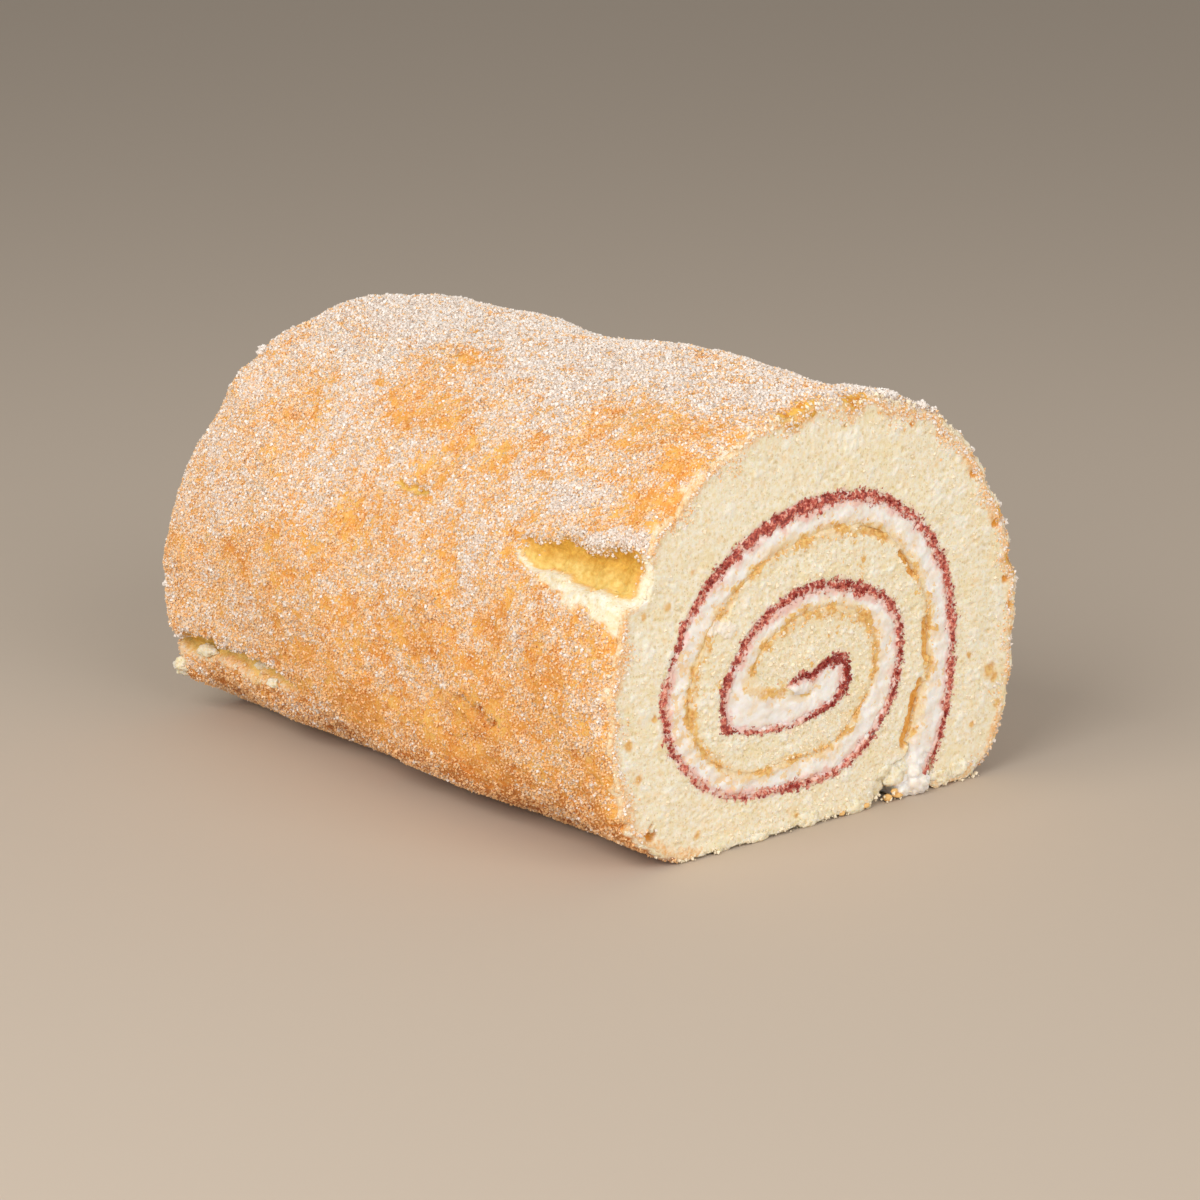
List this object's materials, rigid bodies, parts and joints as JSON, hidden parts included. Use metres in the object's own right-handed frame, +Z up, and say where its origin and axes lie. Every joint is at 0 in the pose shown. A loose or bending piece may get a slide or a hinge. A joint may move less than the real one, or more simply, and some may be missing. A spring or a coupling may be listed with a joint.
{
  "type": "swiss roll cake",
  "caption": "Sugared swiss roll cake lying on its seam, cut across to show the spiral of sponge, jam and cream.",
  "frame": {"origin": "on the surface that the roll rests on, under the middle of its box", "axes": "+Z up; +Y along the roll, from the cut end to the far end; +X to the right as the cut end is faced"},
  "size_m": [0.1016, 0.1318, 0.0774],
  "materials": {
    "sponge": "sugared sponge: golden baked outside, pale cream crumb where it is cut, matt",
    "jam": "red jam soaked into the crumb, moist and uneven",
    "cream": "whipped cream, soft white, faintly moist",
    "sugar": "granulated sugar, clear to white grains that glint a little"
  },
  "bodies": {
    "root": {"sponge": "sponge", "jam": "jam", "cream": "cream"}
  },
  "joints": []
}
